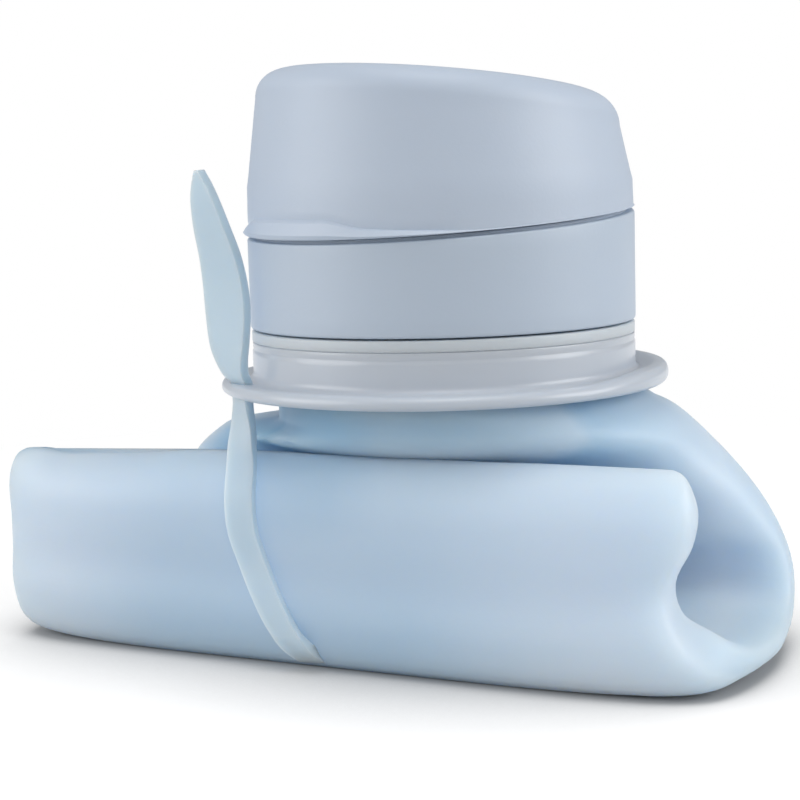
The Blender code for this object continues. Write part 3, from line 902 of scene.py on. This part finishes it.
# strap: leaf-shaped pull above the flange, band round the fold, button head in the second slot. The
# leaf's rows are height, how far it leans out, and half width; free rows are a place and a turn in
# degrees; the other rows are two coordinates on the body, in mm
strap = {
    "width": 5.0,
    "thick": 1.6,
    "columns": 5,
    "steps": 5,
    "edgeRound": 0.4,
    "edgeSegments": 3,
    "edgeAngle": math.radians(50),
    "leafTwist": math.radians(26),
    "twistHeight": (44.5, 52.5),
    "leaf": [(43.9, 0.0, 2.5), (45.6, 0.1, 2.5), (47.2, 1.1, 3.2), (49.6, 1.7, 3.9), (52.3, 1.9, 4.4),
             (57.0, 1.9, 5.0), (61.5, 2.1, 5.0), (66.5, 2.8, 4.6), (71.4, 4.0, 3.9), (75.7, 4.9, 2.9),
             (78.2, 5.3, 1.9), (79.6, 5.5, 1.1), (80.6, 5.6, 0.5)],
    "belowSlot": 1.0,
    "free": [((-26.3, -25.3, 38.2), 26), ((-25.7, -27.3, 34.9), 40)],
    "front": [(-24.7, 31.0), (-24.1, 27.2), (-23.3, 22.2), (-21.4, 17.3), (-19.1, 12.4), (-16.4, 7.9),
              (-14.0, 4.7)],
    "under": [(-12.5, -29.3), (-11.6, -25.0), (-10.8, -17.0), (-10.6, -9.0), (-10.8, -2.0), (-11.8, 4.0)],
    "back": [(-13.6, 6.0), (-15.8, 11.0), (-18.4, 17.0), (-21.2, 24.0), (-23.8, 31.0)],
    "belowAnchor": 2,
    "buttonHeights": (0.6, 2.0),
    "buttonHalf": 3.4,
    "proud": 1.25,
    "floorGap": 0.15,
    "castFrom": 70,
}


def tangentAt(angle, twist=0.0):
    return Vector((-math.sin(angle + twist), math.cos(angle + twist), 0))


def laidOn(skin, start, way):
    spot, normal, _, _ = skin.ray_cast(start * mm, way)
    return spot / mm + normal * strap["proud"]


# each row is a place, the direction across the strap and half its width
def strapRows(skin):
    slot, anchor = collar["slotAngles"]
    slotTurn = collar["slotTurns"][0]
    half, cast = strap["width"] / 2, strap["castFrom"]
    flangeTop = collarBottom + collar["flangeThick"]
    rows = []
    for height, lean, wide in reversed(strap["leaf"]):
        twist = slotTurn + (strap["leafTwist"] - slotTurn) * shareOf(height, *strap["twistHeight"])
        rows.append((onFlange(slot, height, collar["slotRadius"] + lean), tangentAt(slot, twist), wide))
    rows.append((onFlange(slot, collarBottom - strap["belowSlot"]), tangentAt(slot, slotTurn), half))
    for place, twist in strap["free"]:
        rows.append((Vector(place), tangentAt(slot, math.radians(twist)), half))
    side = Vector((1, 0, 0))
    for x, z in strap["front"]:
        rows.append((laidOn(skin, Vector((x, -cast, z)), Vector((0, 1, 0))), side, half))
    for x, y in strap["under"]:
        rows.append((Vector((x, y, strap["thick"] / 2 + strap["floorGap"])), side, half))
    for x, z in strap["back"]:
        rows.append((laidOn(skin, Vector((x, cast, z)), Vector((0, -1, 0))), side, half))
    back = tangentAt(anchor) * -1
    button, buttonTop = strap["buttonHeights"]
    rows.append((onFlange(anchor, collarBottom - strap["belowAnchor"]), back, half))
    rows.append((onFlange(anchor, flangeTop + button), back, half))
    rows.append((onFlange(anchor, flangeTop + buttonTop), back, strap["buttonHalf"]))
    return rows


# a grid is laid along the rows and given its thickness and rounded edges
def makeStrap(body):
    skin = BVHTree.FromObject(body, bpy.context.evaluated_depsgraph_get())
    rows = [[*middle, *across.normalized(), wide] for middle, across, wide in strapRows(skin)]
    fine = refinedRows(rows, strap["steps"])
    columns = strap["columns"]
    clearSelection()
    bpy.ops.mesh.primitive_grid_add(x_subdivisions=columns - 1, y_subdivisions=len(fine) - 1, size=1)
    piece = bpy.context.object
    piece.name = "strapPull"
    shape = bmesh.new()
    shape.from_mesh(piece.data)
    verts = sorted(shape.verts, key=lambda v: (round(v.co.y, 5), round(v.co.x, 5)))
    for r, values in enumerate(fine):
        middle, across, wide = Vector(values[:3]), Vector(values[3:6]).normalized(), values[6]
        for k in range(columns):
            verts[r * columns + k].co = (middle + across * wide * (2 * k / (columns - 1) - 1)) * mm
    shape.to_mesh(piece.data)
    shape.free()
    thick = piece.modifiers.new("thickness", "SOLIDIFY")
    thick.thickness = strap["thick"] * mm
    thick.offset = 0
    roundEdges(piece, strap["edgeRound"], strap["edgeSegments"]).angle_limit = strap["edgeAngle"]
    applyAll(piece)
    finishPiece(piece, "bottle", "strap_silicone", "strapSilicone", "strap", angle=40)


# inner pieces keep their frame shapes, with their own finishes
innerLooks = {
    "neck_insert": "innerPlastic",
    "spout": "innerPlastic",
    "stopper_holder": "innerPlastic",
    "cap_gasket": "sealSilicone",
    "spout_stopper": "sealSilicone",
    "hinge_pin": "pinSteel",
}


def dressInner():
    for node, look in innerLooks.items():
        obj = bpy.data.objects[node]
        obj.data.materials.clear()
        obj.data.materials.append(looks[look])
    print("inner pieces dressed")


# floor and soft light, in m: two wide boxes at the sides, a weak one above, a fill that only the
# silicone body takes, as it passes light inside, and a floor that is plain white in the picture except for
# the soft shadow where the bottle stands close over it, partly cast by the lamps and partly painted, as
# ambient occlusion dims the floor's glow. A lamp is name, place, size, power
studio = {
    "floorSize": 6.0,
    "floorDrop": 0.0002,
    "bounceTone": 0.62,
    "seenTone": 0.5,
    "nearWhite": 0.62,
    "shadowReach": 0.05,
    "shadowRange": (0.35, 0.88),
    "shadowSamples": 16,
    "fadeReach": (0.13, 0.26),
    "worldStrength": 0.36,
    "aim": (0, 0, 0.04),
    "lamps": [("leftBox", (-0.95, -0.72, 0.5), 1.1, 8.6), ("rightBox", (1.1, 0.1, 0.5), 0.9, 8.0),
              ("topBox", (0.1, -0.2, 1.2), 0.7, 3.0), ("bodyFill", (0.62, -0.8, 0.3), 0.7, 2.0)],
}


def mapRange(nodes, links, source, values, smooth=False):
    node = nodes.new("ShaderNodeMapRange")
    if smooth:
        node.interpolation_type = "SMOOTHSTEP"
    for label, value in zip(("From Min", "From Max", "To Min", "To Max"), values):
        node.inputs[label].default_value = value
    links.new(source, node.inputs["Value"])
    return node.outputs["Result"]


def mathNode(nodes, links, operation, first, second):
    node = nodes.new("ShaderNodeMath")
    node.operation = operation
    links.new(first, node.inputs[0])
    links.new(second, node.inputs[1])
    return node.outputs["Value"]


def makeFloorFinish():
    mat = bpy.data.materials.new("paleFloor")
    mat.use_nodes = True
    nodes, links = mat.node_tree.nodes, mat.node_tree.links
    shader = nodes["Principled BSDF"]
    shader.inputs["Roughness"].default_value = 1.0
    shader.inputs["Specular IOR Level"].default_value = 0.0
    path = nodes.new("ShaderNodeLightPath")
    seen = mathNode(nodes, links, "MAXIMUM", path.outputs["Is Camera Ray"], path.outputs["Is Glossy Ray"])
    tone = mapRange(nodes, links, seen, (0, 1, studio["bounceTone"], studio["seenTone"]))
    links.new(tone, shader.inputs["Base Color"])
    # painted shadow: ambient occlusion dims the floor's glow, seen by the camera and in reflections, where
    # the bottle stands close above it
    under = nodes.new("ShaderNodeAmbientOcclusion")
    under.samples = studio["shadowSamples"]
    under.inputs["Distance"].default_value = studio["shadowReach"]
    whiteRange = (*studio["shadowRange"], 0.0, studio["nearWhite"])
    openSky = mapRange(nodes, links, under.outputs["AO"], whiteRange)
    nearEmit = nodes.new("ShaderNodeEmission")
    links.new(mathNode(nodes, links, "MULTIPLY", seen, openSky), nearEmit.inputs["Strength"])
    near = nodes.new("ShaderNodeAddShader")
    links.new(shader.outputs["BSDF"], near.inputs[0])
    links.new(nearEmit.outputs["Emission"], near.inputs[1])
    coords = nodes.new("ShaderNodeTexCoord")
    reach = nodes.new("ShaderNodeVectorMath")
    reach.operation = "LENGTH"
    links.new(coords.outputs["Object"], reach.inputs[0])
    fade = mapRange(nodes, links, reach.outputs["Value"], (*studio["fadeReach"], 0.0, 1.0), smooth=True)
    farEmit = nodes.new("ShaderNodeEmission")
    both = nodes.new("ShaderNodeMixShader")
    links.new(mathNode(nodes, links, "MULTIPLY", seen, fade), both.inputs["Fac"])
    links.new(near.outputs["Shader"], both.inputs[1])
    links.new(farEmit.outputs["Emission"], both.inputs[2])
    links.new(both.outputs["Shader"], nodes["Material Output"].inputs["Surface"])
    return mat


def makeFloor():
    clearSelection()
    bpy.ops.mesh.primitive_plane_add(size=studio["floorSize"], location=(0, 0, -studio["floorDrop"]))
    floor = bpy.context.object
    floor.name = "studioFloor"
    floor.data.materials.append(makeFloorFinish())
    print("floor made")


# the body alone takes the fill, and no lamp's light is blocked by the strap
def makeLamps():
    filled = bpy.data.collections.new("takesFill")
    filled.objects.link(bpy.data.objects["foldedBody"])
    seeThrough = bpy.data.collections.new("letsLightThrough")
    seeThrough.objects.link(bpy.data.objects["strapPull"])
    seeThrough.collection_objects[0].light_linking.link_state = "EXCLUDE"
    for name, place, size, power in studio["lamps"]:
        data = bpy.data.lights.new(name, "AREA")
        data.shape = "DISK"
        data.size = size
        data.energy = power
        lamp = bpy.data.objects.new(name, data)
        bpy.context.scene.collection.objects.link(lamp)
        turn = (Vector(studio["aim"]) - Vector(place)).to_track_quat("-Z", "Y").to_matrix().to_4x4()
        lamp.matrix_world = Matrix.Translation(place) @ turn
        lamp.light_linking.blocker_collection = seeThrough
        if name == "bodyFill":
            lamp.light_linking.receiver_collection = filled
    print("lamps placed")


# the world is weak light for the bottle and plain white for the camera
def makeWorld():
    world = bpy.data.worlds.new("studioWorld")
    bpy.context.scene.world = world
    world.use_nodes = True
    nodes, links = world.node_tree.nodes, world.node_tree.links
    background = nodes["Background"]
    background.inputs["Color"].default_value = (1, 1, 1, 1)
    path = nodes.new("ShaderNodeLightPath")
    level = mapRange(nodes, links, path.outputs["Is Camera Ray"], (0, 1, studio["worldStrength"], 1.0))
    links.new(level, background.inputs["Strength"])
    bpy.context.scene.view_settings.view_transform = "Standard"
    print("world made")


addCamera()
makeHood()
makeBand()
makeCollar()
makeLipSeal()
makeStrap(makeBody())
dressInner()
makeFloor()
makeLamps()
makeWorld()
